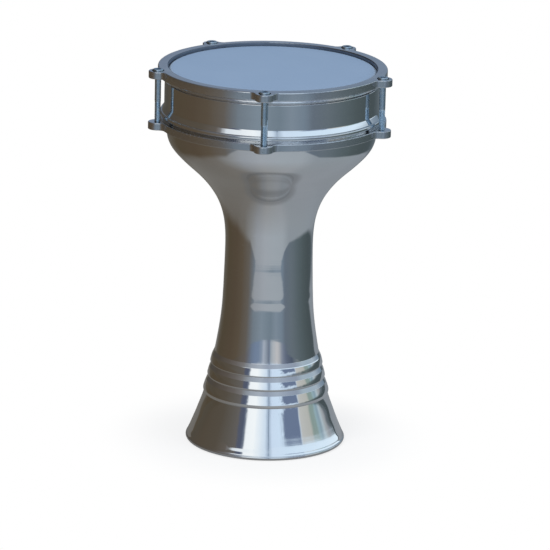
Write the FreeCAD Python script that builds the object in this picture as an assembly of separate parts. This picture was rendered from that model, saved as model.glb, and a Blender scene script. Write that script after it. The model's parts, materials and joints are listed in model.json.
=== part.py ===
import FreeCAD, Part
import math
import os

# Darbuka (goblet drum): a spun aluminium shell with a film head, pulled down by a top hoop.
# The hoop is drawn towards a lower ring by M6 socket-head screws.
# Frame: millimetres, +Z up, origin on the drum's axis in the plane of the foot rim.
# -Y is the front.

V = FreeCAD.Vector

# ---------------------------------------------------------------- driving dimensions
wall_t = 2.2                    # thickness of the spun shell

# outer profile of the shell as (radius, height), foot to bowl
foot_r = 77.3                   # widest radius of the rolled foot rim
foot_bead_r = 2.2               # radius of the rolled foot rim
foot_cone = [(75.62, 5.6), (74.32, 8.7), (71.7, 15.0), (68.5, 23.0), (65.9, 30.0),
             (62.4, 39.5), (60.05, 47.0)]
neck_and_bowl = [(50.55, 88.8), (48.6, 100.0), (46.3, 115.0), (44.6, 130.0), (43.1, 160.0),
                 (42.35, 190.0), (42.75, 210.0), (45.0, 225.0), (50.2, 240.0), (57.3, 252.0),
                 (65.4, 262.0), (73.4, 270.0), (82.2, 278.0), (90.2, 286.0), (94.9, 291.6),
                 (98.3, 297.6), (100.3, 305.0), (101.4, 314.0), (101.8, 321.3)]
# raised ribs on the foot: (top, crest start, crest end, bottom) heights
ribs = [(88.8, 84.2, 77.6, 76.0), (76.0, 71.9, 65.0, 62.8), (62.8, 58.9, 50.2, 47.0)]
rib_proud = 1.45                # how far a rib's crest stands out of the cone

# belt of the bowl and the bearing edge
seat_z = 321.3                  # underside of the shell's flange, where the lower ring bears
flange_r = 106.95               # widest radius of the shell's flange
belt_r = 103.0                  # cylindrical belt above the flange
belt_z = 334.75                 # height where the flange's flare meets the belt
flare_r = 4.0                   # radius that eases the belt into the flare
flare_deg = 18.0                # lean of the flare
flange_lip_r = 1.8              # rounding of the flange's upper edge
belt_ease_z = 350.5             # above this the belt leans in a little
belt_top_r = 102.35
collar_z = 357.2                # height where the belt steps in under the drumhead
collar_r = 100.0                # radius of the stepped-in collar
edge_c_r, edge_c_z = 96.5, 365.0   # centre of the rolled bearing edge
edge_rad = 2.75                 # radius of the rolled bearing edge

# drumhead
film_t = 0.25                   # film thickness
film_lean_deg = 45.0            # how steeply the film leaves the bearing edge
film_end_z = 362.2              # where the film's hem ends inside its hoop
head_in_r, head_out_r = 101.3, 106.0
head_bot_z, head_top_z = 359.7, 366.0
head_wall = 1.3                 # wall of the drumhead's aluminium channel
head_waist_r = 105.5            # outside of the channel above its spread lower edge
resin_top_z = 363.8

# top hoop
hoop_out_r = 109.6
hoop_in_r = 99.7
hoop_skirt_in_r = 106.4
hoop_top_z = 370.8
hoop_round = 1.4                # rounding of the hoop's outer upper edge
hoop_flange_z = 366.3           # underside of the inner flange
hoop_skirt_z = 362.0            # lower edge of the skirt

# lower ring
ring_in_r = 102.15
ring_out_r = 109.6
ring_bot_z = 314.0
ring_top_z = seat_z

# lugs and screws
lugs = 5
lug_first_deg = -93.56          # the front lug
lug_pcr = 112.0                 # pitch circle radius of the screws
lug_end_r = 9.0
lug_fillet_r = 6.0
upper_lug_z = (363.6, 370.6)
lower_lug_z = (314.0, 321.2)
edge_soft = 0.8                 # softened edges of the castings

screw_r = 3.0                   # M6
screw_seat_z = 366.2            # floor of the counterbore
screw_len = 50.0                # under the head
screw_head_r = 5.0
screw_head_h = 6.0
socket_af = 5.0                 # hexagon socket across flats
socket_depth = 3.0
cbore_r = 5.9
upper_hole_r = 3.1
lower_hole_r = 3.05             # stands for the tapped M6 hole
under_head_gap = 0.05

os.makedirs("parts", exist_ok=True)


# ---------------------------------------------------------------- helpers
def xz(r, z):
    return V(r, 0, z)


def line(a, b):
    return Part.LineSegment(xz(*a), xz(*b)).toShape()


def arc(a, m, b):
    return Part.Arc(xz(*a), xz(*m), xz(*b)).toShape()


def spline(points, start=None, end=None):
    s = Part.BSplineCurve()
    pts = [xz(*p) for p in points]
    if start is None:
        s.interpolate(pts)
    else:
        s.interpolate(Points=pts, InitialTangent=xz(*start), FinalTangent=xz(*end))
    return s.toShape()


def turn(edges):
    w = Part.Wire(edges)
    if not w.isClosed():
        raise ValueError("profile isn't closed")
    return Part.Face(w).revolve(V(0, 0, 0), V(0, 0, 1), 360)


def polyturn(points):
    n = len(points)
    return turn([line(points[i], points[(i + 1) % n]) for i in range(n)])


def on_arc(c, r, deg):
    a = math.radians(deg)
    return (c[0] + r * math.cos(a), c[1] + r * math.sin(a))


def save(shape, name):
    if not shape.isValid():
        raise ValueError(name + " is not valid")
    solids = shape.Solids
    out = solids[0] if len(solids) == 1 else Part.makeCompound(solids)
    out.exportStep("parts/" + name + ".step")
    print(name, len(solids), "solid(s)", round(sum(s.Volume for s in solids) / 1000.0, 2), "cm3",
          [round(v, 2) for v in (out.BoundBox.XMin, out.BoundBox.XMax, out.BoundBox.YMin,
                                 out.BoundBox.YMax, out.BoundBox.ZMin, out.BoundBox.ZMax)])


# ---------------------------------------------------------------- shell
def cone_radius(z):
    """Radius of the plain cone that the ribs stand on."""
    pts = [foot_cone[-1], (56.25, 61.0), (53.3, 75.0), neck_and_bowl[0]]
    for (r0, z0), (r1, z1) in zip(pts, pts[1:]):
        if z <= z1:
            return r0 + (r1 - r0) * (z - z0) / (z1 - z0)
    return pts[-1][0]


outer = []
# rolled foot rim: flat sole, round outside
bead_c = (foot_r - foot_bead_r, foot_bead_r)
sole_in = (73.2, 0.0)
sole_out = (bead_c[0], 0.0)
lip_top = on_arc(bead_c, foot_bead_r, 52)
outer.append(line(sole_in, sole_out))
outer.append(arc(sole_out, on_arc(bead_c, foot_bead_r, -15), lip_top))
outer.append(spline([lip_top] + foot_cone, (-0.52, 0.85), (-0.27, 1.0)))
# ribs, lowest first: steep lower flank, long crest, sloping upper flank
last = foot_cone[-1]
for top, crest_hi, crest_lo, bottom in reversed(ribs):
    p_lo = (cone_radius(crest_lo) + rib_proud * 1.22, crest_lo)
    p_hi = (cone_radius(crest_hi) + rib_proud * 0.9, crest_hi)
    p_top = (cone_radius(top), top)
    outer.append(spline([last, ((last[0] + p_lo[0]) / 2 + 0.25, last[1] + 0.42 * (p_lo[1] - last[1])), p_lo],
                        (0.9, 0.45), (-0.05, 1.0)))
    outer.append(spline([p_lo, p_hi], (-0.215, 1.0), (-0.37, 1.0)))
    outer.append(line(p_hi, p_top))
    last = p_top
outer.append(spline([last] + neck_and_bowl[1:], (-0.2, 1.0), (0.03, 1.0)))
# flange: seat for the lower ring, rounded lip, flare up to the belt
lip_in = (103.2, seat_z)
lip_a = (104.9, 322.9)
lip_b = (flange_r, 325.0)
outer.append(line(neck_and_bowl[-1], lip_in))
outer.append(line(lip_in, lip_a))
outer.append(arc(lip_a, (106.38, 323.55), lip_b))
flare_c = (belt_r + flare_r, belt_z)
flare_top = on_arc(flare_c, flare_r, 180 + flare_deg)
lip_c = (flange_r - flange_lip_r, 325.7)
lip_d = (flange_r, lip_c[1])
flare_end = (lip_c[0], lip_c[1] + flange_lip_r)
outer.append(line(lip_b, lip_d))
outer.append(arc(lip_d, on_arc(lip_c, flange_lip_r, 45), flare_end))
outer.append(line(flare_end, flare_top))
outer.append(arc(flare_top, on_arc(flare_c, flare_r, 180 + flare_deg / 2), (belt_r, belt_z)))
# belt, leaning in a little at the top, then the step in to the collar that the drumhead slips over
outer.append(line((belt_r, belt_z), (belt_r, belt_ease_z)))
outer.append(spline([(belt_r, belt_ease_z), (belt_r - 0.19, 353.6), (belt_top_r, collar_z - 0.6)],
                    (0.0, 1.0), (-0.17, 1.0)))
outer.append(arc((belt_top_r, collar_z - 0.6), (belt_top_r - 0.26, collar_z - 0.13),
                 (belt_top_r - 0.8, collar_z)))
outer.append(line((belt_top_r - 0.8, collar_z), (collar_r, collar_z + 0.3)))
slope = (math.sin(math.radians(30)), -math.cos(math.radians(30)))
edge_c = (edge_c_r, edge_c_z)
edge_a = on_arc(edge_c, edge_rad, 30)
k = (collar_r - edge_a[0]) / slope[0]
collar_top = (collar_r, edge_a[1] + k * slope[1])
outer.append(line((collar_r, collar_z + 0.3), collar_top))
outer.append(line(collar_top, edge_a))
edge_in = on_arc(edge_c, edge_rad, 250)
outer.append(arc(edge_a, on_arc(edge_c, edge_rad, 140), edge_in))

# inner profile, top to bottom
belt_in = belt_r - wall_t
collar_in = collar_r - wall_t
inner = []
inner.append(line(edge_in, (collar_in, 360.2)))
inner.append(line((collar_in, 360.2), (collar_in, 355.6)))
inner.append(line((collar_in, 355.6), (belt_in, 351.4)))
inner.append(line((belt_in, 351.4), (belt_in, 334.3)))
inner.append(spline([(belt_in, 334.3), (101.3, 330.6), (102.9, 327.7), (103.8, 325.6),
                     (102.4, 323.9), (100.6, 322.3), (99.6, 319.5)], (0, -1), (-0.02, -1)))


def inset(points):
    """The points moved in by the wall thickness, measured square to the surface."""
    out = []
    for i, (r, z) in enumerate(points):
        (r0, z0), (r1, z1) = points[max(i - 1, 0)], points[min(i + 1, len(points) - 1)]
        if 0 < i < len(points) - 1:
            a, b = (points[i][0] - r0) / (z - z0), (r1 - points[i][0]) / (z1 - z)
            s = (a * (z1 - z) + b * (z - z0)) / (z1 - z0)
        else:
            s = (r1 - r0) / (z1 - z0)
        c = 1 / math.hypot(1, s)
        out.append((r - wall_t * c, z + wall_t * c * s))
    return out


core = inset(foot_cone[1:] + [(56.25, 61.0), (53.3, 75.0)] + neck_and_bowl[:-2])
core = [(71.75, 4.2)] + core
core = core + [(99.45, 314.0), (99.6, 319.5)]
inner.append(spline(core[::-1], (0, -1), (0.33, -1.0)))
inner.append(spline([core[0], (72.35, 1.6), sole_in], (0.25, -1.0), (0.75, -0.8)))
shell = turn(outer + inner)
save(shell, "shell")

# ---------------------------------------------------------------- drumhead
# film: flat playing face, turned down over the bearing edge, hem locked in the channel
lean = math.radians(film_lean_deg)
turn_deg = 90 - film_lean_deg
f_in = [on_arc(edge_c, edge_rad, 90), on_arc(edge_c, edge_rad, turn_deg)]
f_out = [on_arc(edge_c, edge_rad + film_t, 90), on_arc(edge_c, edge_rad + film_t, turn_deg)]
k = (f_out[1][1] - film_end_z) / math.sin(lean)
hem_out = (f_out[1][0] + k * math.cos(lean), film_end_z)
hem_in = (hem_out[0] - film_t * math.sin(lean), film_end_z - film_t * math.cos(lean))
film = turn([
    line((0, f_in[0][1]), f_in[0]),
    arc(f_in[0], on_arc(edge_c, edge_rad, 90 - film_lean_deg / 2), f_in[1]),
    line(f_in[1], hem_in),
    line(hem_in, hem_out),
    line(hem_out, f_out[1]),
    arc(f_out[1], on_arc(edge_c, edge_rad + film_t, 90 - film_lean_deg / 2), f_out[0]),
    line(f_out[0], (0, f_out[0][1])),
    line((0, f_out[0][1]), (0, f_in[0][1])),
])
save(film, "drumhead_film")

# channel: tall outer wall under the top hoop, short inner lip, lower edge spread out a little
cr = 0.45
channel = turn([
    line((head_in_r, head_bot_z), (head_out_r - cr, head_bot_z)),
    arc((head_out_r - cr, head_bot_z), on_arc((head_out_r - cr, head_bot_z + cr), cr, -40),
        on_arc((head_out_r - cr, head_bot_z + cr), cr, 17)),
    line(on_arc((head_out_r - cr, head_bot_z + cr), cr, 17), (head_waist_r, 361.7)),
    line((head_waist_r, 361.7), (head_waist_r, head_top_z)),
    line((head_waist_r, head_top_z), (head_waist_r - head_wall, head_top_z)),
    line((head_waist_r - head_wall, head_top_z), (head_waist_r - head_wall, head_bot_z + head_wall)),
    line((head_waist_r - head_wall, head_bot_z + head_wall), (head_in_r + 1.0, head_bot_z + head_wall)),
    line((head_in_r + 1.0, head_bot_z + head_wall), (head_in_r + 1.0, head_bot_z + 1.6)),
    line((head_in_r + 1.0, head_bot_z + 1.6), (head_in_r, head_bot_z + 1.6)),
    line((head_in_r, head_bot_z + 1.6), (head_in_r, head_bot_z)),
])
save(channel, "drumhead_channel")

resin = polyturn([
    (head_in_r + 1.0, head_bot_z + head_wall),
    (head_waist_r - head_wall, head_bot_z + head_wall),
    (head_waist_r - head_wall, resin_top_z),
    (head_in_r + 0.75, resin_top_z),
    (head_in_r + 1.0, head_bot_z + 1.75),
]).cut(film)
save(resin, "drumhead_resin")


# ---------------------------------------------------------------- rings with lugs
def lug_prism(z0, z1):
    """One lug on the +X axis: round end, fillets into the ring's outside."""
    d = lug_pcr
    rf = hoop_out_r + lug_fillet_r
    phi = math.acos((rf * rf + d * d - (lug_end_r + lug_fillet_r) ** 2) / (2 * rf * d))
    fc = V(rf * math.cos(phi), rf * math.sin(phi), 0)
    t_ring = V(hoop_out_r * math.cos(phi), hoop_out_r * math.sin(phi), 0)
    to_f = (fc - V(d, 0, 0)).normalize()
    t_end = V(d, 0, 0) + to_f * lug_end_r
    mid = fc + ((t_ring - fc).normalize() + (t_end - fc).normalize()).normalize() * lug_fillet_r
    root_r = 0.5 * (hoop_skirt_in_r + hoop_out_r)
    in_a = V(root_r * math.cos(phi), root_r * math.sin(phi), 0)

    def m(v):
        return V(v.x, -v.y, 0)

    edges = [
        Part.LineSegment(in_a, t_ring).toShape(),
        Part.Arc(t_ring, mid, t_end).toShape(),
        Part.Arc(t_end, V(d + lug_end_r, 0, 0), m(t_end)).toShape(),
        Part.Arc(m(t_end), m(mid), m(t_ring)).toShape(),
        Part.LineSegment(m(t_ring), m(in_a)).toShape(),
        Part.Arc(m(in_a), V(root_r, 0, 0), in_a).toShape(),
    ]
    p = Part.Face(Part.Wire(edges)).extrude(V(0, 0, z1 - z0))
    p.translate(V(0, 0, z0))
    return p


def around(shape, i):
    s = shape.copy()
    s.rotate(V(0, 0, 0), V(0, 0, 1), lug_first_deg + i * 360.0 / lugs)
    return s


def soften(shape, r, wanted):
    edges = [e for e in shape.Edges if wanted(e)]
    return shape.makeFillet(r, edges)


def cyl(r, z0, z1):
    return Part.makeCylinder(r, z1 - z0, V(lug_pcr, 0, z0))


def outside_at(z):
    """Edges of the outer outline that lie in the plane z."""
    def f(e):
        b = e.BoundBox
        if abs(b.ZMin - z) > 1e-4 or abs(b.ZMax - z) > 1e-4:
            return False
        p = e.valueAt((e.FirstParameter + e.LastParameter) / 2)
        return math.hypot(p.x, p.y) > hoop_out_r - 0.6
    return f


# top hoop: inner flange over the drumhead, skirt outside it, lugs for the screws
hoop_ring = turn([
    line((hoop_in_r + 0.8, hoop_flange_z), (hoop_skirt_in_r, hoop_flange_z)),
    line((hoop_skirt_in_r, hoop_flange_z), (hoop_skirt_in_r, hoop_skirt_z)),
    line((hoop_skirt_in_r, hoop_skirt_z), (hoop_out_r - 1.2, hoop_skirt_z)),
    line((hoop_out_r - 1.2, hoop_skirt_z), (hoop_out_r, hoop_skirt_z + 1.2)),
    line((hoop_out_r, hoop_skirt_z + 1.2), (hoop_out_r, hoop_top_z - hoop_round)),
    arc((hoop_out_r, hoop_top_z - hoop_round),
        on_arc((hoop_out_r - hoop_round, hoop_top_z - hoop_round), hoop_round, 45),
        (hoop_out_r - hoop_round, hoop_top_z)),
    line((hoop_out_r - hoop_round, hoop_top_z), (hoop_in_r + 1.0, hoop_top_z)),
    arc((hoop_in_r + 1.0, hoop_top_z), on_arc((hoop_in_r + 1.0, hoop_top_z - 1.0), 1.0, 135),
        (hoop_in_r, hoop_top_z - 1.0)),
    line((hoop_in_r, hoop_top_z - 1.0), (hoop_in_r, hoop_flange_z + 0.8)),
    arc((hoop_in_r, hoop_flange_z + 0.8), on_arc((hoop_in_r + 0.8, hoop_flange_z + 0.8), 0.8, 225),
        (hoop_in_r + 0.8, hoop_flange_z)),
])
upper = lug_prism(*upper_lug_z)
rim = [e for e in upper.Edges
       if abs(e.BoundBox.ZMin - e.BoundBox.ZMax) < 1e-6
       and math.hypot(*(e.valueAt((e.FirstParameter + e.LastParameter) / 2))[:2]) > hoop_out_r - 0.6
       and e.Curve.TypeId == "Part::GeomCircle" and e.Curve.Radius < 20]
upper = upper.makeFillet(edge_soft, rim)
hoop = hoop_ring
for i in range(lugs):
    hoop = hoop.fuse(around(upper, i))
for i in range(lugs):
    hoop = hoop.cut(around(cyl(upper_hole_r, 360, 372), i))
    hoop = hoop.cut(around(cyl(cbore_r, screw_seat_z, 372), i))
save(hoop, "top_hoop")

# lower ring: plain rectangular section with tapped lugs, bearing under the shell's flange
cs = 0.8
ring = turn([
    line((ring_in_r, ring_bot_z), (ring_out_r - cs, ring_bot_z)),
    arc((ring_out_r - cs, ring_bot_z), on_arc((ring_out_r - cs, ring_bot_z + cs), cs, -45),
        (ring_out_r, ring_bot_z + cs)),
    line((ring_out_r, ring_bot_z + cs), (ring_out_r, ring_top_z - cs)),
    arc((ring_out_r, ring_top_z - cs), on_arc((ring_out_r - cs, ring_top_z - cs), cs, 45),
        (ring_out_r - cs, ring_top_z)),
    line((ring_out_r - cs, ring_top_z), (ring_in_r, ring_top_z)),
    line((ring_in_r, ring_top_z), (ring_in_r, ring_bot_z)),
])
lower = lug_prism(*lower_lug_z)
rim = [e for e in lower.Edges
       if abs(e.BoundBox.ZMin - e.BoundBox.ZMax) < 1e-6
       and math.hypot(*(e.valueAt((e.FirstParameter + e.LastParameter) / 2))[:2]) > hoop_out_r - 0.6
       and e.Curve.TypeId == "Part::GeomCircle" and e.Curve.Radius < 20]
lower = lower.makeFillet(edge_soft, rim)
for i in range(lugs):
    ring = ring.fuse(around(lower, i))
for i in range(lugs):
    ring = ring.cut(around(cyl(lower_hole_r, 310, 325), i))
save(ring, "lower_ring")

# ---------------------------------------------------------------- screws
z_under = screw_seat_z + under_head_gap
z_tip = z_under - screw_len
c = 0.5
for i in range(lugs):
    s = polyturn([
        (0, z_tip), (screw_r - c, z_tip), (screw_r, z_tip + c), (screw_r, z_under),
        (screw_head_r, z_under), (screw_head_r, z_under + screw_head_h - c),
        (screw_head_r - c, z_under + screw_head_h), (0, z_under + screw_head_h),
    ])
    hexa = Part.makePolygon([
        V(socket_af / math.sqrt(3) * math.cos(math.radians(a + 17 * i)),
          socket_af / math.sqrt(3) * math.sin(math.radians(a + 17 * i)),
          z_under + screw_head_h - socket_depth)
        for a in range(0, 361, 60)])
    s = s.cut(Part.Face(hexa).extrude(V(0, 0, socket_depth + 1)))
    s.translate(V(lug_pcr, 0, 0))
    save(around(s, i), "tension_screw_%d" % (i + 1))
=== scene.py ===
import bmesh
import bpy
import json
import math
import numpy as np
from mathutils import Matrix, Vector

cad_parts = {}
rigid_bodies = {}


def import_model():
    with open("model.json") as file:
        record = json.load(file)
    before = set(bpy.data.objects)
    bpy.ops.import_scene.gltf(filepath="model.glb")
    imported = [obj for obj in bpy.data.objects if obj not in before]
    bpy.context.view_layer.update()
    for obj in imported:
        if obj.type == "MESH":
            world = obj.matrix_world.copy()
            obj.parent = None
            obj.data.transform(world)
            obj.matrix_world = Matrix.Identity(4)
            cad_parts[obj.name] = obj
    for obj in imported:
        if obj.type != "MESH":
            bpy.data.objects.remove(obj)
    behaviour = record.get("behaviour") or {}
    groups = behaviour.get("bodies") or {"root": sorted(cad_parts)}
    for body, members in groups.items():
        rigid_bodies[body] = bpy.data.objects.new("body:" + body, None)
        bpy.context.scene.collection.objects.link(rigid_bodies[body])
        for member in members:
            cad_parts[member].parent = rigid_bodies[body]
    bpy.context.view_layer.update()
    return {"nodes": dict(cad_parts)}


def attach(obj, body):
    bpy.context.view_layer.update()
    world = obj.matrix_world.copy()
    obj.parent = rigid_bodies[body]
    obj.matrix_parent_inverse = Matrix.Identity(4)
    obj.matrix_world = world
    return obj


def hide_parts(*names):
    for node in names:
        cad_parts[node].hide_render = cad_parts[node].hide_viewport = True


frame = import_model()
scene = bpy.context.scene
MM = 0.001

LUGS = 5
LUG_FIRST = -93.56
LUG_R = 112.0
HOOP_IN = 0.0997   # metres


# =============================================================== curves and meshes
def cspline(pts, n, t0=None, t1=None):
    """Cubic spline through pts with the given end directions, or free ends."""
    p = np.array(pts, float)
    h = np.hypot(*np.diff(p, axis=0).T)
    u = np.r_[0, np.cumsum(h)]
    m = len(p)
    A, B = np.zeros((m, m)), np.zeros((m, 2))
    for i in range(1, m - 1):
        A[i, i - 1], A[i, i], A[i, i + 1] = h[i - 1], 2 * (h[i - 1] + h[i]), h[i]
        B[i] = 6 * ((p[i + 1] - p[i]) / h[i] - (p[i] - p[i - 1]) / h[i - 1])
    A[0, 0] = A[-1, -1] = 1
    if t0 is not None:
        t0 = np.array(t0, float) / np.hypot(*t0)
        A[0, 0], A[0, 1] = 2 * h[0], h[0]
        B[0] = 6 * ((p[1] - p[0]) / h[0] - t0)
    if t1 is not None:
        t1 = np.array(t1, float) / np.hypot(*t1)
        A[-1, -1], A[-1, -2] = 2 * h[-1], h[-1]
        B[-1] = 6 * (t1 - (p[-1] - p[-2]) / h[-1])
    M = np.linalg.solve(A, B)
    out = []
    for v in np.linspace(0, u[-1], n):
        i = min(max(int(np.searchsorted(u, v, "right")) - 1, 0), m - 2)
        a, b = u[i + 1] - v, v - u[i]
        out.append(M[i] * a ** 3 / (6 * h[i]) + M[i + 1] * b ** 3 / (6 * h[i])
                   + (p[i] / h[i] - M[i] * h[i] / 6) * a + (p[i + 1] / h[i] - M[i + 1] * h[i] / 6) * b)
    return np.array(out)


def arc(c, r, a0, a1, n):
    a = np.radians(np.linspace(a0, a1, n))
    return np.c_[c[0] + r * np.cos(a), c[1] + r * np.sin(a)]


def seg(a, b, n):
    t = np.linspace(0, 1, n)[:, None]
    return np.array(a, float) * (1 - t) + np.array(b, float) * t


def join(parts):
    """The runs end to end, without the repeated points."""
    out = [parts[0][0]]
    for p in parts:
        for q in p:
            if np.hypot(*(q - out[-1])) > 0.004:
                out.append(q)
    return np.array(out)


def grid_mesh(name, pos, close_i=True, close_j=True, flip=False):
    """A mesh from a grid of points, pos[i, j] in mm, with smooth normals taken from the grid."""
    ni, nj = pos.shape[:2]
    di = (np.roll(pos, -1, 0) - np.roll(pos, 1, 0)) if close_i else np.gradient(pos, axis=0)
    dj = (np.roll(pos, -1, 1) - np.roll(pos, 1, 1)) if close_j else np.gradient(pos, axis=1)
    # directions weighted by step length, so that short steps beside long ones keep their slope
    if close_i:
        a, b = np.roll(pos, -1, 0) - pos, pos - np.roll(pos, 1, 0)
        la, lb = np.linalg.norm(a, axis=2, keepdims=True) + 1e-9, np.linalg.norm(b, axis=2, keepdims=True) + 1e-9
        di = a / la * lb + b / lb * la
    n = np.cross(dj, di)
    n /= np.linalg.norm(n, axis=2, keepdims=True) + 1e-12
    if flip:
        n = -n
    verts = (pos * MM).reshape(-1, 3)
    I, J = np.meshgrid(np.arange(ni if close_i else ni - 1), np.arange(nj if close_j else nj - 1), indexing="ij")
    I2, J2 = (I + 1) % ni, (J + 1) % nj
    quads = np.stack([I * nj + J, I * nj + J2, I2 * nj + J2, I2 * nj + J], -1).reshape(-1, 4)
    if flip:
        quads = quads[:, ::-1]
    me = bpy.data.meshes.new(name)
    me.from_pydata(verts.tolist(), [], quads.tolist())
    me.validate()
    me.shade_smooth()
    me.normals_split_custom_set_from_vertices(n.reshape(-1, 3).tolist())
    o = bpy.data.objects.new(name, me)
    scene.collection.objects.link(o)
    return o


def lathe(name, profile, n, shape=None):
    """A closed profile, (radius, height) in mm going up the outside and down the inside, turned round Z."""
    th = np.linspace(0, 2 * math.pi, n, endpoint=False)
    P = np.array(profile)
    R = np.repeat(P[:, :1], n, 1)
    Z = np.repeat(P[:, 1:], n, 1)
    T = np.repeat(th[None, :], len(P), 0)
    if shape is not None:
        R, Z = shape(R, Z, T)
    return grid_mesh(name, np.stack([R * np.cos(T), R * np.sin(T), Z], -1))


# =============================================================== material helpers
class Net:
    """Short ways to write a node tree."""

    def __init__(self, tree):
        self.t = tree
        self.n = tree.nodes
        self.n.clear()

    def put(self, kind, **props):
        node = self.n.new(kind)
        for k, v in props.items():
            setattr(node, k, v)
        return node

    def link(self, a, b):
        self.t.links.new(a, b)

    def feed(self, socket, value):
        if isinstance(value, bpy.types.NodeSocket):
            self.link(value, socket)
        else:
            socket.default_value = value

    def math(self, op, a, b=None, c=None, clamp=False):
        m = self.put("ShaderNodeMath", operation=op, use_clamp=clamp)
        for s, v in zip(m.inputs, (a, b, c)):
            if v is not None:
                self.feed(s, v)
        return m.outputs[0]

    def step(self, x, lo, hi, a=0.0, b=1.0, smooth=True):
        m = self.put("ShaderNodeMapRange", interpolation_type="SMOOTHSTEP" if smooth else "LINEAR")
        self.feed(m.inputs["Value"], x)
        for k, v in (("From Min", lo), ("From Max", hi), ("To Min", a), ("To Max", b)):
            m.inputs[k].default_value = v
        return m.outputs[0]

    def window(self, x, lo, hi, soft):
        return self.math("MULTIPLY", self.step(x, lo - soft, lo + soft), self.step(x, hi - soft, hi + soft, 1.0, 0.0))

    def mix(self, fac, a, b, kind="MIX"):
        m = self.put("ShaderNodeMix", data_type="RGBA", blend_type=kind)
        self.feed(m.inputs[0], fac)
        self.feed(m.inputs[6], a)
        self.feed(m.inputs[7], b)
        return m.outputs[2]

    def mul(self, *xs):
        out = xs[0]
        for x in xs[1:]:
            out = self.math("MULTIPLY", out, x)
        return out

    def noise(self, vector, scale, detail=2.0, rough=0.5, dist=0.0, dims="3D"):
        m = self.put("ShaderNodeTexNoise", noise_dimensions=dims)
        if vector is not None:
            self.link(vector, m.inputs["Vector"])
        m.inputs["Scale"].default_value = scale
        m.inputs["Detail"].default_value = detail
        m.inputs["Roughness"].default_value = rough
        m.inputs["Distortion"].default_value = dist
        return m.outputs[0]

    def scaled(self, vector, s):
        m = self.put("ShaderNodeVectorMath", operation="MULTIPLY")
        self.link(vector, m.inputs[0])
        m.inputs[1].default_value = s
        return m.outputs[0]

    def split(self, vector):
        m = self.put("ShaderNodeSeparateXYZ")
        self.link(vector, m.inputs[0])
        return m.outputs

    def combine(self, x=0.0, y=0.0, z=0.0):
        m = self.put("ShaderNodeCombineXYZ")
        for s, v in zip(m.inputs, (x, y, z)):
            self.feed(s, v)
        return m.outputs[0]

    def bump(self, height, distance, strength=1.0, normal=None):
        m = self.put("ShaderNodeBump")
        self.feed(m.inputs["Height"], height)
        m.inputs["Distance"].default_value = distance
        m.inputs["Strength"].default_value = strength
        if normal is not None:
            self.link(normal, m.inputs["Normal"])
        return m.outputs[0]


def srgb(r, g, b, k=1.0):
    """A display colour, 0 to 255, as linear light."""
    def f(c):
        c /= 255.0
        return (c / 12.92 if c <= 0.04045 else ((c + 0.055) / 1.055) ** 2.4) * k
    return (f(r), f(g), f(b), 1.0)


def material(name):
    m = bpy.data.materials.new(name)
    m.use_nodes = True
    n = Net(m.node_tree)
    out = n.put("ShaderNodeOutputMaterial")
    p = n.put("ShaderNodeBsdfPrincipled")
    n.link(p.outputs[0], out.inputs[0])
    tc = n.put("ShaderNodeTexCoord")
    return m, n, p, tc.outputs["Object"]


def paint(obj, mat):
    obj.data.materials.clear()
    obj.data.materials.append(mat)


def paint_cad(node, mat):
    o = frame["nodes"][node]
    for s in o.material_slots:
        s.material = mat


# =============================================================== materials
def spun_aluminium():
    """Mirror-polished sheet: turning lines round the drum, handling scratches, finger haze."""
    m, n, p, pos = material("spun_aluminium_polished")
    x, y, z = n.split(pos)
    r = n.math("SQRT", n.math("ADD", n.mul(x, x), n.mul(y, y)))
    ring = n.combine(n.math("MULTIPLY", r, 1.0), 0.0, z)
    lines = n.noise(ring, 2600.0, 3.0, 0.6)
    bands = n.noise(ring, 160.0, 2.0, 0.5)
    haze = n.noise(pos, 14.0, 4.0, 0.6, 0.4)
    fine = n.noise(n.scaled(pos, (1.0, 1.0, 9.0)), 260.0, 3.0, 0.7)
    scr = n.noise(n.scaled(pos, (60.0, 60.0, 900.0)), 1.0, 1.0, 0.5, 0.8)
    scratch = n.step(scr, 0.70, 0.76)
    p.inputs["Metallic"].default_value = 1.0
    tint = n.mix(n.step(haze, 0.35, 0.75), (0.83, 0.835, 0.84, 1), (0.80, 0.808, 0.818, 1))
    tint = n.mix(n.math("MULTIPLY", n.step(bands, 0.52, 0.80), 0.30), tint, (0.74, 0.75, 0.77, 1))
    n.link(tint, p.inputs["Base Color"])
    rough = n.math("ADD", n.step(haze, 0.30, 0.80, 0.012, 0.055), n.math("MULTIPLY", fine, 0.03))
    rough = n.math("ADD", rough, n.math("MULTIPLY", scratch, 0.08))
    n.link(rough, p.inputs["Roughness"])
    h = n.math("ADD", n.math("MULTIPLY", lines, 0.5), n.math("MULTIPLY", scratch, -0.5))
    b = n.bump(bands, 0.00004, 0.35)
    n.link(n.bump(h, 0.0000020, 0.6, b), p.inputs["Normal"])
    return m


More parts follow.
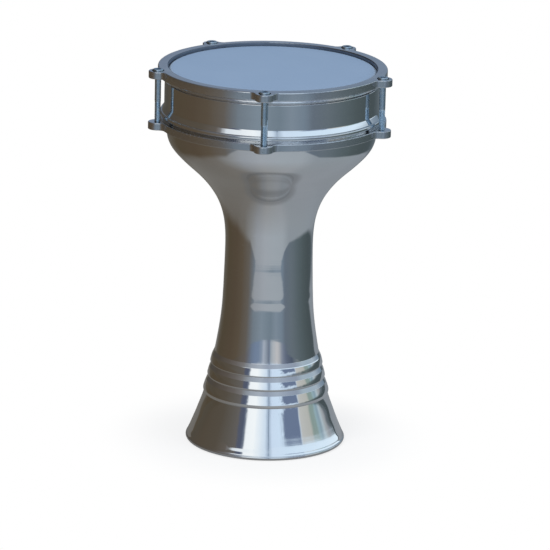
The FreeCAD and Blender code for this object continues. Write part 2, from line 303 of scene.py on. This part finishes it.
def cast_aluminium(name, cast_and_shaded_inside=False):
    """Cast ring, linished and lightly polished: soft grain, pores, brighter worn edges."""
    m, n, p, pos = material(name)
    grain = n.noise(pos, 900.0, 4.0, 0.65)
    blotch = n.noise(pos, 45.0, 4.0, 0.6, 0.3)
    vor = n.put("ShaderNodeTexVoronoi", feature="F1")
    n.link(pos, vor.inputs["Vector"])
    vor.inputs["Scale"].default_value = 420.0
    pores = n.mul(n.step(vor.outputs["Distance"], 0.10, 0.22, 1.0, 0.0), n.step(n.noise(pos, 120.0, 2.0), 0.55, 0.66))
    geo = n.put("ShaderNodeNewGeometry")
    edge = n.step(geo.outputs["Pointiness"], 0.515, 0.56)
    p.inputs["Metallic"].default_value = 1.0
    c = n.mix(n.step(blotch, 0.3, 0.75), (0.74, 0.755, 0.775, 1), (0.66, 0.675, 0.70, 1))
    c = n.mix(n.math("MULTIPLY", edge, 0.6), c, (0.86, 0.865, 0.87, 1))
    c = n.mix(n.math("MULTIPLY", pores, 0.7), c, (0.25, 0.25, 0.26, 1))
    rough = n.math("ADD", n.step(blotch, 0.25, 0.8, 0.07, 0.16), n.math("MULTIPLY", grain, 0.05))
    if cast_and_shaded_inside:
        # the inner wall is left as cast and duller than the polished faces; its dark colour is painted shade, standing
        # in for the shade inside the hoop
        x, y, z = n.split(pos)
        r = n.math("SQRT", n.math("ADD", n.mul(x, x), n.mul(y, y)))
        inner_cast_and_shade = n.step(r, HOOP_IN + 0.0005, HOOP_IN + 0.0010, 1.0, 0.0)
        c = n.mix(inner_cast_and_shade, c, n.mix(blotch, (0.26, 0.30, 0.36, 1), (0.18, 0.21, 0.26, 1)))
        rough = n.math("ADD", rough, n.math("MULTIPLY", inner_cast_and_shade, 0.30))
    n.link(c, p.inputs["Base Color"])
    n.link(rough, p.inputs["Roughness"])
    h = n.math("SUBTRACT", n.math("MULTIPLY", grain, 0.12), pores)
    b = n.bump(blotch, 0.00012, 0.20)
    n.link(n.bump(h, 0.000012, 0.4, b), p.inputs["Normal"])
    return m


def channel_aluminium():
    m, n, p, pos = material("rolled_channel_satin")
    x, y, z = n.split(pos)
    lines = n.noise(n.combine(0.0, 0.0, z), 1500.0, 3.0, 0.7)
    soft = n.noise(pos, 60.0, 3.0)
    p.inputs["Metallic"].default_value = 1.0
    n.link(n.mix(soft, (0.78, 0.79, 0.81, 1), (0.68, 0.69, 0.72, 1)), p.inputs["Base Color"])
    n.link(n.step(soft, 0.2, 0.8, 0.16, 0.28), p.inputs["Roughness"])
    n.link(n.bump(lines, 0.000006, 0.5), p.inputs["Normal"])
    return m


def zinc_steel():
    """Bright bluish zinc on a steel screw."""
    m, n, p, pos = material("zinc_plated_steel")
    blotch = n.noise(pos, 130.0, 4.0, 0.6, 0.5)
    fine = n.noise(n.scaled(pos, (1.0, 1.0, 0.08)), 2200.0, 2.0, 0.5)
    p.inputs["Metallic"].default_value = 1.0
    c = n.mix(n.step(blotch, 0.3, 0.7), (0.52, 0.66, 0.78, 1), (0.60, 0.70, 0.77, 1))
    n.link(c, p.inputs["Base Color"])
    n.link(n.step(blotch, 0.2, 0.8, 0.22, 0.34), p.inputs["Roughness"])
    n.link(n.bump(fine, 0.000002, 0.3), p.inputs["Normal"])
    return m


def film_material():
    """Clear-white polyester: smooth, slightly milky, faint grain and playing haze."""
    m, n, p, pos = material("polyester_film_milky")
    cloud = n.noise(pos, 22.0, 4.0, 0.55)
    grain = n.noise(pos, 1400.0, 2.0, 0.5)
    x, y, z = n.split(pos)
    r = n.math("SQRT", n.math("ADD", n.mul(x, x), n.mul(y, y)))
    c = n.mix(n.step(cloud, 0.3, 0.7), (0.255, 0.365, 0.53, 1), (0.265, 0.375, 0.54, 1))
    # painted highlight: a lighter ring at the film's rim stands in for the sheen where the film curves down over the
    # bearing edge
    c = n.mix(n.step(r, 0.0955, 0.0985), c, (0.34, 0.44, 0.57, 1))
    n.link(c, p.inputs["Base Color"])
    n.link(n.step(cloud, 0.2, 0.8, 0.36, 0.46), p.inputs["Roughness"])
    p.inputs["IOR"].default_value = 1.60
    n.link(n.bump(grain, 0.000006, 0.35), p.inputs["Normal"])
    return m


def resin_material():
    m, n, p, pos = material("potting_resin_amber")
    cloud = n.noise(pos, 90.0, 3.0)
    n.link(n.mix(cloud, (0.34, 0.28, 0.14, 1), (0.24, 0.19, 0.09, 1)), p.inputs["Base Color"])
    n.link(n.step(cloud, 0.2, 0.8, 0.25, 0.4), p.inputs["Roughness"])
    return m


MAT_SHELL = spun_aluminium()
MAT_CAST = cast_aluminium("cast_aluminium_linished")
MAT_HOOP = cast_aluminium("cast_aluminium_hoop", True)
MAT_CHANNEL = channel_aluminium()
MAT_ZINC = zinc_steel()
MAT_FILM = film_material()
MAT_RESIN = resin_material()

# =============================================================== shell
FOOT = [(75.72, 5.6), (74.36, 8.7), (71.7, 15.0), (68.5, 23.0), (65.9, 30.0), (62.4, 39.5), (60.05, 47.0)]
BOWL = [(50.55, 88.8), (48.6, 100.0), (46.3, 115.0), (44.6, 130.0), (43.1, 160.0), (42.35, 190.0), (42.75, 210.0),
        (45.0, 225.0), (50.2, 240.0), (57.3, 252.0), (65.4, 262.0), (73.4, 270.0), (82.2, 278.0), (90.2, 286.0),
        (94.9, 291.6), (98.3, 297.6), (100.3, 305.0), (101.4, 314.0), (101.8, 321.3)]
RIBS = [(88.8, 84.2, 77.6, 76.0), (76.0, 71.9, 65.0, 62.8), (62.8, 58.9, 50.2, 47.0)]
PROUD = 1.45


def cone_radius(z):
    pts = [FOOT[-1], (56.25, 61.0), (53.3, 75.0), BOWL[0]]
    for (r0, z0), (r1, z1) in zip(pts, pts[1:]):
        if z <= z1:
            return r0 + (r1 - r0) * (z - z0) / (z1 - z0)
    return pts[-1][0]


def shell_profile():
    o = [seg((73.2, 0.0), (75.1, 0.0), 4), arc((75.1, 2.2), 2.2, -90, 52, 16)]
    o.append(cspline([tuple(o[-1][-1])] + FOOT, 44, (-0.52, 0.85), (-0.27, 1.0)))
    last = FOOT[-1]
    for top, hi, lo, _ in reversed(RIBS):
        p_lo = (cone_radius(lo) + PROUD * 1.22, lo)
        p_hi = (cone_radius(hi) + PROUD * 0.9, hi)
        p_top = (cone_radius(top), top)
        o.append(cspline([last, ((last[0] + p_lo[0]) / 2 + 0.25, last[1] + 0.42 * (p_lo[1] - last[1])), p_lo],
                         11, (0.9, 0.45), (-0.05, 1.0)))
        o.append(cspline([p_lo, p_hi], 13, (-0.215, 1.0), (-0.37, 1.0)))
        o.append(seg(p_hi, p_top, 7))
        last = p_top
    o.append(cspline([last] + BOWL[1:], 120, (-0.2, 1.0), (0.03, 1.0)))
    o += [seg(BOWL[-1], (103.2, 321.3), 5), seg((103.2, 321.3), (104.9, 322.9), 6),
          arc((104.85, 325.0), 2.1, -88, 0, 9), seg((106.95, 325.0), (106.95, 325.7), 3),
          arc((105.15, 325.7), 1.8, 0, 90, 12), seg((105.15, 327.5), (103.3045, 331.955), 12),
          arc((107.0, 333.486), 4.0, 202.5, 180, 10), seg((103.0, 333.486), (103.0, 350.5), 16),
          cspline([(103.0, 350.5), (102.92, 353.6), (102.66, 356.6)], 14, (0, 1), (-0.11, 1)),
          cspline([(102.66, 356.6), (102.34, 357.07), (101.55, 357.2)], 7, (-0.11, 1), (-1, 0.1)),
          seg((101.55, 357.2), (100.0, 357.5), 4), seg((100.0, 357.5), (100.0, 364.4), 8),
          arc((96.5, 365.0), 2.75, 30, 250, 34)]
    # inside, top to bottom
    o += [seg((97.8, 360.2), (97.8, 355.6), 4), seg((97.8, 355.6), (100.8, 351.4), 6),
          seg((100.8, 351.4), (100.8, 334.3), 8),
          cspline([(100.8, 334.3), (101.3, 330.6), (102.9, 327.7), (103.8, 325.6), (102.4, 323.9), (100.6, 322.3),
                   (99.6, 319.5)], 22, (0, -1), (-0.02, -1))]
    pts = FOOT[1:] + [(56.25, 61.0), (53.3, 75.0)] + BOWL[:-2]
    inner = []
    for i, (r, z) in enumerate(pts):
        (r0, z0), (r1, z1) = pts[max(i - 1, 0)], pts[min(i + 1, len(pts) - 1)]
        s = (r1 - r0) / (z1 - z0)
        c = 1 / math.hypot(1, s)
        inner.append((r - 2.2 * c, z + 2.2 * c * s))
    inner = [(71.75, 4.2)] + inner + [(99.45, 314.0), (99.6, 319.5)]
    o.append(cspline(inner[::-1], 90, (0, -1), (0.33, -1.0)))
    o.append(cspline([inner[0], (72.35, 1.6), (73.2, 0.0)], 8, (0.25, -1.0), (0.75, -0.8)))
    p = join(o)
    p = p[:-1] if np.hypot(*(p[-1] - p[0])) < 0.01 else p
    out = []
    for i in range(len(p)):
        a, b, c = p[i - 1], p[i], p[(i + 1) % len(p)]
        u, v = b - a, c - b
        lu, lv = np.hypot(*u), np.hypot(*v)
        bend = abs(math.degrees(math.atan2(u[0] * v[1] - u[1] * v[0], u @ v)))
        if bend > 7.0 and min(lu, lv) > 0.12:      # a corner: hold it to a tenth of a millimetre
            out += [b - u / lu * min(0.12, 0.3 * lu), b, b + v / lv * min(0.12, 0.3 * lv)]
        else:
            out.append(b)
    return np.array(out)


def spun_waves(R, Z, T):
    """The faint unevenness that spinning and hand polishing leave, under 0.1 mm."""
    fade = np.clip((Z - 6) / 12, 0, 1) * np.clip((352 - Z) / 8, 0, 1)
    quiet = 1 - 0.7 * np.exp(-((Z - 324) / 7.0) ** 2)
    d = (0.010 * np.sin(2 * math.pi * Z / 41 + 1.1 + 0.7 * np.sin(T + 0.4))
         + 0.006 * np.sin(2 * math.pi * Z / 23 + 2.0 * T + 0.6)
         + 0.050 * np.sin(2 * T + Z / 70 + 2.1) + 0.030 * np.sin(3 * T - Z / 45 + 0.3)
         + 0.012 * np.sin(7 * T + Z / 26 + 4.0) + 0.008 * np.sin(11 * T - Z / 17 + 1.7))
    ridge = 0.065 * np.exp(-((Z - 146.2) / 3.2) ** 2)
    return R + (d + ridge) * fade * quiet, Z


shell = lathe("spun_shell", shell_profile(), 360, spun_waves)
paint(shell, MAT_SHELL)
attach(shell, "drum")
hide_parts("shell")

# =============================================================== the castings and the channel
def smoothed(node, name, mat, body, angle=40.0):
    """The CAD surface with its corner normals weighted by face area, so flats stay flat and roundings run smooth."""
    src = frame["nodes"][node]
    parts = [src] if src.type == "MESH" else [c for c in src.children_recursive if c.type == "MESH"]
    bm = bmesh.new()
    for c in parts:
        me = c.data.copy()
        me.transform(c.matrix_world)
        bm.from_mesh(me)
        bpy.data.meshes.remove(me)
    bmesh.ops.remove_doubles(bm, verts=bm.verts, dist=2e-6)
    bmesh.ops.dissolve_degenerate(bm, edges=bm.edges, dist=1e-7)
    me = bpy.data.meshes.new(name)
    bm.normal_update()
    bm.verts.ensure_lookup_table()
    cosang = math.cos(math.radians(angle))
    bm.to_mesh(me)
    corner = []
    for f in bm.faces:
        for v in f.verts:
            n = Vector((0, 0, 0))
            for g in v.link_faces:
                if g.normal.dot(f.normal) > cosang:
                    n += g.normal * g.calc_area()
            corner.append(tuple(n.normalized() if n.length > 0 else f.normal))
    bm.free()
    me.shade_smooth()
    me.normals_split_custom_set(corner)
    o = bpy.data.objects.new(name, me)
    scene.collection.objects.link(o)
    paint(o, mat)
    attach(o, body)
    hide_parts(node)
    return o


smoothed("lower_ring", "lower_ring_cast", MAT_CAST, "drum")
smoothed("top_hoop", "top_hoop_cast", MAT_HOOP, "hoop")
smoothed("drumhead_channel", "drumhead_channel_rolled", MAT_CHANNEL, "drum")
paint_cad("drumhead_film", MAT_FILM)
paint_cad("drumhead_resin", MAT_RESIN)

# =============================================================== tension screws
SCREW = dict(seat=366.25, length=50.0, r=3.0, pitch=1.0, threaded=24.0, head_r=5.0, head_h=6.0, across=5.0, deep=3.0)


def screw_mesh(name, turn_deg, lug_deg):
    """Socket-head screw: rolled thread with its run-out, plain shank, knurled head, hexagon socket."""
    k = SCREW
    n = 96
    t = np.linspace(0, 2 * math.pi, n, endpoint=False)
    one = np.ones(n)
    tip, top = k["seat"] - k["length"], k["seat"] + k["head_h"]
    a0 = math.radians(turn_deg)
    hexagon = (k["across"] / 2) / np.cos((t % (math.pi / 3)) - math.pi / 6)
    knurl = np.where(np.arange(n) % 3 == 0, 0.14, 0.0)
    rows = [(1.9 * one, tip * one)]
    for z in np.arange(tip, tip + k["threaded"] + 1.2, k["pitch"] / 8):
        u = ((z - tip) / k["pitch"] - t / (2 * math.pi)) % 1.0
        depth = 0.52 * np.clip(1.25 * (2 * np.abs(u - 0.5)) - 0.12, 0, 1)
        out = np.clip((tip + k["threaded"] + 1.0 - z) / 1.6, 0, 1)
        r = k["r"] - 0.02 - depth * out
        rows.append((np.minimum(r, 2.30 + 0.95 * (z - tip)), z * one))
    rows += [((k["r"] - 0.02) * one, z * one) for z in (tip + k["threaded"] + 1.5, k["seat"] - 0.7)]
    rows += [((k["r"] - 0.02 + f) * one, (k["seat"] + f * 0.2) * one) for f in (0.0, 0.25)]
    rows += [((k["head_r"] - 0.45) * one, (k["seat"] + 0.0) * one), ((k["head_r"] - 0.1) * one, (k["seat"] + 0.30) * one),
             (k["head_r"] - 0.02 - knurl, (k["seat"] + 0.62) * one), (k["head_r"] - 0.02 - knurl, (top - 1.05) * one),
             ((k["head_r"] - 0.06) * one, (top - 0.72) * one), ((k["head_r"] - 0.18) * one, (top - 0.34) * one),
             ((k["head_r"] - 0.48) * one, (top - 0.07) * one), ((k["head_r"] - 0.85) * one, top * one),
             (hexagon + 0.22, top * one), (hexagon, (top - 0.20) * one), (hexagon, (top - k["deep"]) * one),
             (0.4 * one, (top - k["deep"] - 0.7) * one)]
    verts = []
    for r, z in rows:
        a = t + a0
        verts += np.c_[LUG_R + r * np.cos(a), r * np.sin(a), z].tolist()
    faces = []
    for i in range(len(rows) - 1):
        for j in range(n):
            j2 = (j + 1) % n
            faces.append((i * n + j, i * n + j2, (i + 1) * n + j2, (i + 1) * n + j))
    faces.append(tuple(range(n - 1, -1, -1)))
    faces.append(tuple((len(rows) - 1) * n + j for j in range(n)))
    c, q = math.cos(math.radians(lug_deg)), math.sin(math.radians(lug_deg))
    verts = [((x * c - y * q) * MM, (x * q + y * c) * MM, z * MM) for x, y, z in verts]
    me = bpy.data.meshes.new(name)
    me.from_pydata(verts, [], faces)
    me.validate()
    me.shade_smooth()
    me.set_sharp_from_angle(angle=math.radians(38))
    o = bpy.data.objects.new(name, me)
    scene.collection.objects.link(o)
    return o


for i in range(LUGS):
    o = screw_mesh("screw_%d_threaded" % (i + 1), 17.0 * i, LUG_FIRST + 72.0 * i)
    paint(o, MAT_ZINC)
    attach(o, "screw_%d" % (i + 1))
    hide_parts("tension_screw_%d" % (i + 1))

# =============================================================== floor, room and lights
PALE = (1.0, 1.0, 1.0, 1.0)


def ramp(n, x, lo, hi, stops, kind="LINEAR"):
    """A colour that runs through (position, colour) stops as x goes from lo to hi."""
    if len(stops) > 31:     # one ramp holds 32 stops: split it
        h = len(stops) // 2
        at = stops[h][0]
        return n.mix(n.math("GREATER_THAN", x, at), ramp(n, x, lo, hi, stops[:h + 1], kind), ramp(n, x, lo, hi, stops[h:], kind))
    m = n.put("ShaderNodeValToRGB")
    m.color_ramp.interpolation = kind
    e = m.color_ramp.elements
    while len(e) > 1:
        e.remove(e[-1])
    for i, (at, c) in enumerate(stops):
        p = (at - lo) / (hi - lo)
        if i == 0:
            e[0].position = p
            el = e[0]
        else:
            el = e.new(p)
        el.color = c
    n.link(n.step(x, lo, hi, 0.0, 1.0, False), m.inputs[0])
    return m.outputs[0]


def level(v):
    return (v, v, v, 1.0)


K = 1.17   # the metal keeps about four fifths of what it mirrors


def room():
    """Soft pale studio to the eye; what polished metal mirrors is a room with walls, a window and a floor."""
    w = bpy.data.worlds.new("room")
    scene.world = w
    w.use_nodes = True
    n = Net(w.node_tree)
    out = n.put("ShaderNodeOutputWorld")
    tc = n.put("ShaderNodeTexCoord")
    x, y, z = n.split(tc.outputs["Generated"])
    deg = 180 / math.pi
    az0 = n.math("MULTIPLY", n.math("ARCTAN2", x, n.math("MULTIPLY", y, -1.0)), deg)
    el0 = n.math("MULTIPLY", n.math("ARCSINE", z), deg)
    wob = n.noise(tc.outputs["Generated"], 5.0, 3.0, 0.6)
    az = n.math("ADD", az0, n.step(wob, 0.2, 0.8, -2.2, 2.2, False))
    el = n.math("ADD", el0, n.step(n.noise(tc.outputs["Generated"], 6.1, 2.0, 0.5), 0.2, 0.8, -1.2, 1.2, False))
    azf = n.math("ADD", az0, n.step(wob, 0.2, 0.8, -0.5, 0.5, False))

    def bands(stops):
        return ramp(n, az, -180, 180, [(a, srgb(r, g, b_, K)) for a, r, g, b_ in stops])

    low = bands([(-180, 104, 104, 104), (-158, 90, 88, 82), (-140, 80, 75, 66), (-100, 78, 70, 58), (-70, 86, 78, 68),
                 (-50, 97, 92, 88), (-42, 100, 104, 114), (-34, 106, 120, 140), (-26, 112, 128, 152), (-17, 116, 133, 156),
                 (-11, 134, 148, 166), (-6.5, 164, 173, 187), (-2, 146, 157, 171), (4, 108, 119, 136), (9, 150, 160, 170),
                 (15, 172, 178, 184), (22, 188, 188, 190), (29, 166, 170, 176), (35, 124, 133, 149), (42, 100, 110, 129),
                 (56, 78, 88, 105), (64, 100, 110, 120), (72, 112, 121, 126), (80, 86, 98, 98), (88, 98, 109, 110),
                 (100, 88, 100, 102), (125, 92, 102, 108), (150, 88, 97, 106), (172, 98, 106, 116), (180, 103, 105, 107)])
    mid = bands([(-180, 104, 112, 124), (-158, 72, 69, 62), (-140, 74, 69, 61), (-110, 81, 73, 62), (-80, 84, 77, 67),
                 (-60, 92, 88, 82), (-47, 98, 95, 93), (-44, 84, 89, 104), (-38, 80, 88, 108), (-35, 112, 122, 138),
                 (-32, 240, 245, 248), (-18, 243, 248, 250), (-9, 224, 235, 244), (1, 206, 222, 238), (4, 170, 188, 208),
                 (8, 172, 190, 210), (11, 202, 220, 240), (30, 206, 226, 245), (60, 200, 218, 236), (64, 186, 188, 186),
                 (82, 178, 180, 175), (86, 134, 152, 147), (95, 136, 156, 154), (98, 146, 172, 180), (102, 132, 154, 168),
                 (107, 172, 188, 196), (114, 160, 166, 170), (120, 140, 144, 152), (127, 164, 176, 186),
                 (144, 178, 186, 194), (154, 146, 156, 164), (164, 110, 119, 130), (180, 104, 113, 126)])
    lip = bands([(-180, 122, 136, 156), (-160, 74, 72, 70), (-120, 76, 69, 61), (-90, 88, 81, 75), (-70, 101, 96, 93),
                 (-55, 117, 115, 115), (-44, 134, 140, 148), (-34, 152, 160, 171), (-14, 166, 175, 187), (3, 149, 160, 177),
                 (25, 162, 174, 189), (50, 146, 158, 176), (68, 142, 153, 170), (85, 162, 178, 190), (100, 156, 174, 188),
                 (118, 164, 178, 190), (132, 130, 146, 162), (150, 108, 126, 142), (168, 120, 135, 154)])
    top = bands([(-180, 112, 124, 142), (-140, 80, 80, 76), (-110, 92, 96, 102), (-70, 118, 124, 138), (-46, 150, 160, 174),
                 (-34, 210, 221, 229), (-12, 212, 224, 234), (3, 164, 182, 202), (25, 188, 206, 224), (50, 184, 202, 220),
                 (70, 136, 152, 171), (88, 172, 190, 208), (104, 160, 178, 192), (114, 108, 124, 136), (140, 94, 112, 126),
                 (165, 108, 124, 142)])
    edge = ramp(n, az, -180, 180, [(-180, level(0.6)), (-60, level(0.6)), (-38, level(0.62)), (38, level(0.62)),
                                   (60, level(0.6)), (78, level(0.46)), (100, level(0.36)), (130, level(0.40))])
    over = n.math("SUBTRACT", el, n.math("MULTIPLY", n.math("SUBTRACT", edge, 0.2), 13.0))
    c = n.mix(n.step(over, -1.6, 1.6), low, mid)
    # the dark opening to the right of the window, and the post in it
    leaf = n.noise(tc.outputs["Generated"], 7.0, 3.0, 0.6)
    azl = n.math("ADD", az0, n.step(leaf, 0.25, 0.75, -9.0, 9.0, False))
    ell = n.math("ADD", el0, n.step(leaf, 0.25, 0.75, 2.2, -2.2, False))
    blob = n.mul(n.step(azl, 25, 38), n.step(az0, 60, 63, 1.0, 0.0), n.step(ell, 6.5, 10.5))
    c = n.mix(n.math("MULTIPLY", blob, 0.96), c, srgb(98, 113, 141, K))
    # over the window and the wall beside it runs a bright strip, then the eaves
    sky = ramp(n, az, -180, 180, [(a, srgb(r, g, b_, K)) for a, r, g, b_ in (
        (-180, 104, 108, 112), (-158, 74, 71, 64), (-110, 81, 73, 62), (-80, 84, 77, 67), (-62, 96, 90, 84), (-57, 124, 124, 126), (-51, 216, 224, 231), (-20, 240, 246, 249), (-9, 224, 235, 244),
        (1, 206, 222, 238), (4, 176, 193, 212), (8, 178, 195, 213), (12, 208, 225, 243), (40, 208, 228, 246),
        (90, 214, 233, 249), (140, 222, 238, 250), (152, 150, 160, 168), (172, 106, 111, 116), (180, 104, 108, 112))])
    foot_of = ramp(n, az0, -180, 180, [(a, level((e + 10.0) / 50.0)) for a, e in (
        (-180, -9.0), (-151, -6.5), (-134, -0.1), (-117, 6.0), (-99, 11.7), (-80, 16.6), (-62, 21.5), (-57, 24.8), (-46, 26.0), (-33, 27.6), (0, 28.6), (16, 26.2), (30, 24.9), (41, 23.8), (61, 20.7),
        (80, 16.6), (99, 11.7), (117, 6.0), (134, -0.1), (151, -6.5), (180, -9.0))])
    eaves = ramp(n, az0, -180, 180, [(a, level((e + 10.0) / 50.0)) for a, e in (
        (-180, -9.0), (-150, -3.7), (-137, 2.0), (-124, 7.5), (-110, 12.6), (-96, 17.4), (-81, 21.7), (-70, 24.0), (-58, 26.4), (-46, 28.8), (-34, 30.9), (-17, 32.3), (0, 32.8),
        (17, 32.3), (34, 30.9), (46, 29.2), (58, 27.1), (70, 24.6), (81, 21.7), (96, 17.4), (110, 12.6), (124, 7.5),
        (137, 2.0), (150, -3.7), (180, -9.0))])
    c = n.mix(n.step(n.math("SUBTRACT", el0, n.math("SUBTRACT", n.math("MULTIPLY", foot_of, 50.0), 10.0)), -0.35, 0.35), c, sky)
    c = n.mix(n.step(n.math("SUBTRACT", el0, n.math("SUBTRACT", n.math("MULTIPLY", eaves, 50.0), 10.0)), -0.4, 0.4), c, lip)
    c = n.mix(n.step(el, 46, 54), c, top)
    line = n.mul(n.window(azf, 5.4, 6.9, 0.5), n.window(el, -12, 30, 3))
    c = n.mix(n.math("MULTIPLY", line, 0.8), c, srgb(112, 128, 150, K))
    env = n.put("ShaderNodeBackground")
    n.link(c, env.inputs[0])
    pale = n.put("ShaderNodeBackground")
    pale.inputs[0].default_value = PALE
    soft = n.put("ShaderNodeBackground")
    n.feed(soft.inputs[0], n.mix(n.step(el0, 0, 60), (0.72, 0.76, 0.82, 1), (0.90, 0.94, 1.0, 1)))
    soft.inputs[1].default_value = 0.62
    lp = n.put("ShaderNodeLightPath")
    a = n.put("ShaderNodeMixShader")
    n.link(lp.outputs["Is Glossy Ray"], a.inputs[0])
    n.link(soft.outputs[0], a.inputs[1])
    n.link(env.outputs[0], a.inputs[2])
    b = n.put("ShaderNodeMixShader")
    n.link(lp.outputs["Is Camera Ray"], b.inputs[0])
    n.link(a.outputs[0], b.inputs[1])
    n.link(pale.outputs[0], b.inputs[2])
    n.link(b.outputs[0], out.inputs[0])


def floor():
    """Pale and shadowed near the drum to the eye; to the mirror, a finite light patch in a darker room, with the drum's
    shadow painted round its foot.
    """
    me = bpy.data.meshes.new("floor")
    s = 40.0
    me.from_pydata([(-s, -s, 0), (s, -s, 0), (s, s, 0), (-s, s, 0)], [], [(0, 1, 2, 3)])
    o = bpy.data.objects.new("floor", me)
    scene.collection.objects.link(o)
    o.location.z = -0.0004
    m = bpy.data.materials.new("floor_pale")
    m.use_nodes = True
    n = Net(m.node_tree)
    out = n.put("ShaderNodeOutputMaterial")
    geo = n.put("ShaderNodeNewGeometry")
    x, y, z = n.split(geo.outputs["Position"])
    r = n.math("SQRT", n.math("ADD", n.mul(x, x), n.mul(y, y)))
    az = n.math("MULTIPLY", n.math("ARCTAN2", x, n.math("MULTIPLY", y, -1.0)), 180 / math.pi)
    wob = n.noise(geo.outputs["Position"], 9.0, 3.0, 0.6)
    azw = n.math("ADD", az, n.step(wob, 0.2, 0.8, -1.5, 1.5, False))

    def bands(stops):
        return ramp(n, azw, -180, 180, [(a, srgb(r_, g, b_, K)) for a, r_, g, b_ in stops])

    # the band nearest the drum: partly the floor's own colour by direction, partly painted shade standing in for the
    # drum's shadow on the floor
    near = bands([(-180, 120, 120, 118), (-150, 112, 110, 106), (-110, 110, 107, 102), (-70, 114, 111, 107), (-50, 121, 120, 118),
                  (-30, 129, 131, 133), (-10, 141, 142, 142), (12, 143, 146, 148), (30, 145, 148, 152), (60, 138, 144, 149),
                  (90, 138, 143, 149), (130, 138, 143, 149), (160, 130, 134, 139), (180, 120, 121, 120)])
    wide = bands([(-180, 130, 131, 132), (-160, 116, 114, 110), (-130, 104, 100, 94), (-90, 100, 94, 86), (-66, 108, 104, 98),
                  (-46, 132, 134, 135), (-32, 147, 152, 158), (-10, 157, 163, 170), (12, 156, 164, 171), (34, 154, 162, 169),
                  (52, 139, 147, 154), (90, 138, 146, 152), (118, 136, 144, 151), (140, 132, 139, 146), (160, 130, 136, 142), (180, 130, 131, 132)])
    far = bands([(-180, 120, 122, 122), (-166, 104, 101, 94), (-148, 90, 85, 76), (-125, 78, 69, 55), (-90, 82, 71, 58),
                 (-70, 88, 78, 65), (-50, 97, 92, 86), (-42, 103, 107, 111), (-34, 112, 123, 133), (-14, 124, 138, 150),
                 (8, 112, 127, 139), (20, 124, 138, 151), (34, 114, 129, 143), (43, 99, 110, 122), (60, 98, 109, 117),
                 (80, 86, 98, 103), (100, 76, 87, 90), (118, 70, 80, 83), (136, 70, 80, 84), (150, 84, 94, 100),
                 (165, 100, 108, 114), (180, 120, 122, 122)])
    reach = ramp(n, az, -180, 180, [(-180, level(0.62)), (-162, level(0.56)), (-150, level(0.48)), (-125, level(0.42)),
                                    (-90, level(0.40)), (-70, level(0.48)), (-49, level(0.56)), (-43, level(0.67)),
                                    (-37, level(0.76)), (-32, level(0.82)), (0, level(0.825)), (31, level(0.82)), (37, level(0.76)), (44, level(0.67)),
                                    (54, level(0.57)), (75, level(0.535)), (100, level(0.53)), (118, level(0.55)),
                                    (134, level(0.62)), (150, level(0.70)), (180, level(0.62))])
    soften = ramp(n, az, -180, 180, [(-180, level(0.10)), (-60, level(0.10)), (-46, level(0.06)), (-36, level(0.016)),
                                     (34, level(0.016)), (60, level(0.03)), (130, level(0.04)), (150, level(0.10))])
    past = n.math("DIVIDE", n.math("SUBTRACT", r, reach), soften)
    c = n.mix(n.step(r, 0.08, 0.45, 0.0, 1.0, False), near, wide)
    # painted shadow: in the floor that the metal mirrors, a darker ring close round the foot stands in for the drum's
    # contact shadow
    c = n.mix(n.step(r, 0.082, 0.115, 1.0, 0.0), c, n.mix(0.5, near, srgb(96, 98, 100, K)))
    c = n.mix(n.step(past, -1.0, 1.0), c, far)
    dim = n.mul(n.step(r, 0.95, 1.05), n.step(az, -152, -128, 1.0, 0.0))
    c = n.mix(n.math("MULTIPLY", dim, 0.45), c, (0.03, 0.03, 0.028, 1))
    seen = n.put("ShaderNodeEmission")
    n.link(c, seen.inputs[0])
    mat = n.put("ShaderNodeBsdfDiffuse")
    mat.inputs[0].default_value = (0.90, 0.90, 0.90, 1)
    glow = n.put("ShaderNodeEmission")
    glow.inputs[0].default_value = PALE
    away = n.put("ShaderNodeMixShader")
    n.link(n.step(r, 0.085, 0.17, 0.72, 1.0), away.inputs[0])
    n.link(mat.outputs[0], away.inputs[1])
    n.link(glow.outputs[0], away.inputs[2])
    lp = n.put("ShaderNodeLightPath")
    a = n.put("ShaderNodeMixShader")
    n.link(lp.outputs["Is Glossy Ray"], a.inputs[0])
    n.link(away.outputs[0], a.inputs[1])
    n.link(seen.outputs[0], a.inputs[2])
    b = n.put("ShaderNodeMixShader")
    clear = n.put("ShaderNodeBsdfTransparent")
    n.link(geo.outputs["Backfacing"], b.inputs[0])
    n.link(a.outputs[0], b.inputs[1])
    n.link(clear.outputs[0], b.inputs[2])
    n.link(b.outputs[0], out.inputs[0])
    me.materials.append(m)


def light(name, at, look, size, power, colour):
    d = bpy.data.lights.new(name, "AREA")
    d.shape = "DISK"
    d.size = size
    d.energy = power
    d.color = colour
    o = bpy.data.objects.new(name, d)
    scene.collection.objects.link(o)
    o.location = at
    o.rotation_euler = (Vector(look) - Vector(at)).to_track_quat("-Z", "Y").to_euler()
    o.visible_glossy = False
    return o


room()
floor()
light("key", (-1.2, -1.6, 2.6), (0, 0, 0.15), 1.6, 42.0, (1.0, 0.99, 0.97))
light("fill", (1.8, -0.8, 1.8), (0, 0, 0.2), 1.8, 16.0, (0.93, 0.97, 1.0))

# =============================================================== camera
cam = bpy.data.cameras.new("camera")
cam_o = bpy.data.objects.new("camera", cam)
scene.collection.objects.link(cam_o)
scene.camera = cam_o
el, roll = math.radians(15.98), math.radians(1.30)
fwd = Vector((0, math.cos(el), -math.sin(el)))
right = Vector((1, 0, 0))
up = right.cross(fwd)
r2 = math.cos(roll) * right + math.sin(roll) * up
u2 = -math.sin(roll) * right + math.cos(roll) * up
cam.sensor_width = 36.0
cam.lens = 4217.68 / 550 * 36.0
cam.shift_x = 0.0005
cam.clip_start, cam.clip_end = 0.1, 200.0
cam_o.matrix_world = Matrix((
    (r2.x, u2.x, -fwd.x, 0.00620),
    (r2.y, u2.y, -fwd.y, -3.91714),
    (r2.z, u2.z, -fwd.z, 1.28559),
    (0, 0, 0, 1)))
scene.view_settings.view_transform = "Standard"
scene.view_settings.look = "None"
